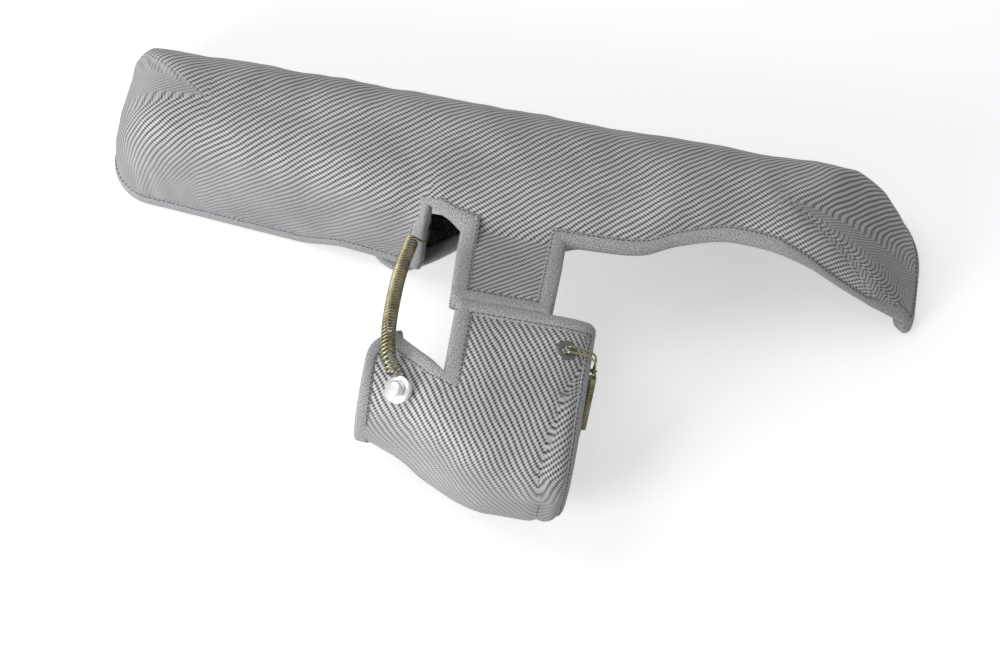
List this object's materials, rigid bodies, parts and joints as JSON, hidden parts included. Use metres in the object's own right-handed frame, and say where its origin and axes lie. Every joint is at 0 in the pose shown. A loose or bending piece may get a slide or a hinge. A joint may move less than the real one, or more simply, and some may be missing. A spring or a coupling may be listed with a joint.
{
  "type": "turbo heat blanket",
  "caption": "Grey quilted heat blanket: a long open-backed manifold shell joined by a neck panel to a rounded turbine shell, with bound edges and spring fasteners.",
  "frame": {"origin": "centre of the base of the box around the whole part, on the plane the open back rests on", "axes": "+X along the manifold shell, to the right in the picture; +Y from the turbine shell to the manifold shell's far side; +Z out of the front"},
  "size_m": [0.496, 0.2562, 0.0998],
  "materials": {
    "woven_cloth": "coarse twill weave, matt",
    "insulation": "needled felt",
    "lining_cloth": "plain weave, matt",
    "binding_tape": "knitted tape, matt, sewn",
    "spring_steel": "drawn wire",
    "bright_steel": "polished"
  },
  "bodies": {
    "root": {"manifold_cover": "woven_cloth", "manifold_core": "insulation", "manifold_lining": "lining_cloth", "rim_tape": "binding_tape", "outlet_notch_tape": "binding_tape", "neck_end_tape": "binding_tape", "long_edge_tape": "binding_tape", "neck_flap": "lining_cloth", "neck_flap_tape": "binding_tape", "turbine_cover": "woven_cloth", "turbine_core": "insulation", "turbine_lining": "lining_cloth", "turbine_top_tape": "binding_tape", "v_notch_tape": "binding_tape", "outlet_tape": "binding_tape", "housing_tape": "binding_tape", "rear_edge_tape": "binding_tape", "closing_spring": "spring_steel", "upper_anchor": "bright_steel", "base_washer": "bright_steel", "button_washer": "bright_steel", "button_rivet": "bright_steel", "back_washer": "bright_steel", "side_eyelet": "bright_steel", "side_bail": "spring_steel", "side_spring": "spring_steel"}
  },
  "joints": []
}
